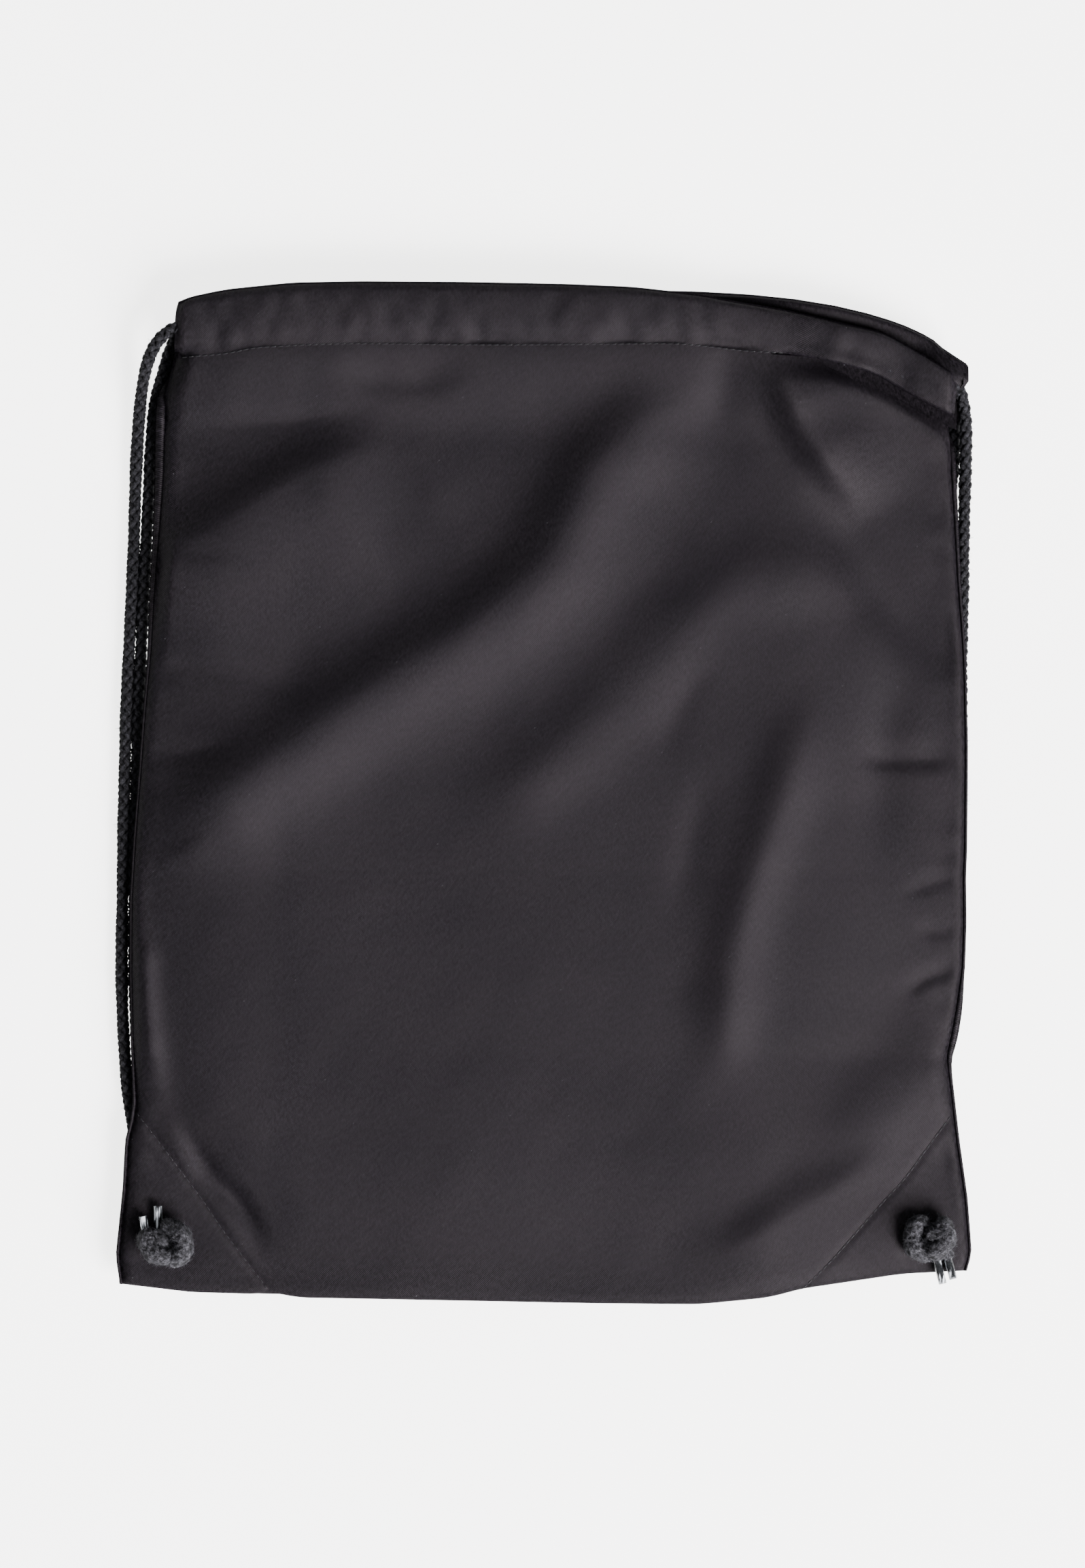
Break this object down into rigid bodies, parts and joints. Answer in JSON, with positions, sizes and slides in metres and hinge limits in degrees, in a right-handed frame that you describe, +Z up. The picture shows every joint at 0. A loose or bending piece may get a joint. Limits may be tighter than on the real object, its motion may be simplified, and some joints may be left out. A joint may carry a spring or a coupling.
{
  "type": "drawstring backpack",
  "caption": "Flat cotton bag with a cord-drawn mouth, whose cords run down the sides as shoulder straps and are knotted through the reinforced bottom corners.",
  "frame": {"origin": "middle of the bag's own box, on the surface that it lies on", "axes": "+Z up out of the front panel, +Y towards the mouth, +X to the right as the front is seen"},
  "size_m": [0.3855, 0.4579, 0.0227],
  "materials": {
    "cotton_twill": "matte, soft sheen",
    "cotton_cord": "matte, fuzzy",
    "sewing_thread": "matte",
    "clear_plastic": "clear, glossy"
  },
  "bodies": {
    "bag": {"back_channel_stitching": "sewing_thread", "back_mouth": "cotton_twill", "back_panel": "cotton_twill", "bottom_seam": "sewing_thread", "front_panel": "cotton_twill", "left_back_strand": "cotton_cord", "left_buttonhole_stitching": "sewing_thread", "left_cord_back_loop": "cotton_cord", "left_cord_back_run": "cotton_cord", "left_corner_patch": "cotton_twill", "left_corner_stitching": "sewing_thread", "left_front_strand": "cotton_cord", "left_side_seam": "sewing_thread", "right_back_strand": "cotton_cord", "right_buttonhole_stitching": "sewing_thread", "right_cord_back_loop": "cotton_cord", "right_cord_back_run": "cotton_cord", "right_corner_patch": "cotton_twill", "right_corner_stitching": "sewing_thread", "right_front_strand": "cotton_cord", "right_side_seam": "sewing_thread"},
    "mouth_front": {"front_mouth": "cotton_twill", "front_channel_stitching": "sewing_thread", "left_cord_front_run": "cotton_cord", "right_cord_front_run": "cotton_cord", "left_cord_front_loop": "cotton_cord", "right_cord_front_loop": "cotton_cord"},
    "left_cord_neck": {"left_neck": "cotton_cord"},
    "right_cord_neck": {"right_neck": "cotton_cord"},
    "left_cord_knot": {"left_knot": "cotton_cord", "left_aglet_a": "clear_plastic", "left_aglet_b": "clear_plastic", "left_cord_end_a": "cotton_cord", "left_cord_end_b": "cotton_cord"},
    "right_cord_knot": {"right_knot": "cotton_cord", "right_aglet_a": "clear_plastic", "right_aglet_b": "clear_plastic", "right_cord_end_a": "cotton_cord", "right_cord_end_b": "cotton_cord"}
  },
  "joints": [
    {"name": "mouth_open", "type": "hinge", "parent": "bag", "child": "mouth_front", "pos_m": [-0.172, 0.1795, 0.0166], "axis": [0.9989, -0.047, 0], "range_deg": [0, 40]},
    {"name": "left_knot_pull", "type": "slide", "parent": "bag", "child": "left_cord_neck", "axis": [0, 0, 1], "range_m": [0, 0.012]},
    {"name": "left_knot_turn", "type": "hinge", "parent": "left_cord_neck", "child": "left_cord_knot", "pos_m": [-0.1696, -0.2005, 0.0112], "axis": [0, 0, 1], "range_deg": [-120, 120]},
    {"name": "right_knot_pull", "type": "slide", "parent": "bag", "child": "right_cord_neck", "axis": [0, 0, 1], "range_m": [0, 0.012]},
    {"name": "right_knot_turn", "type": "hinge", "parent": "right_cord_neck", "child": "right_cord_knot", "pos_m": [0.1722, -0.1985, 0.0112], "axis": [0, 0, 1], "range_deg": [-120, 120]}
  ]
}
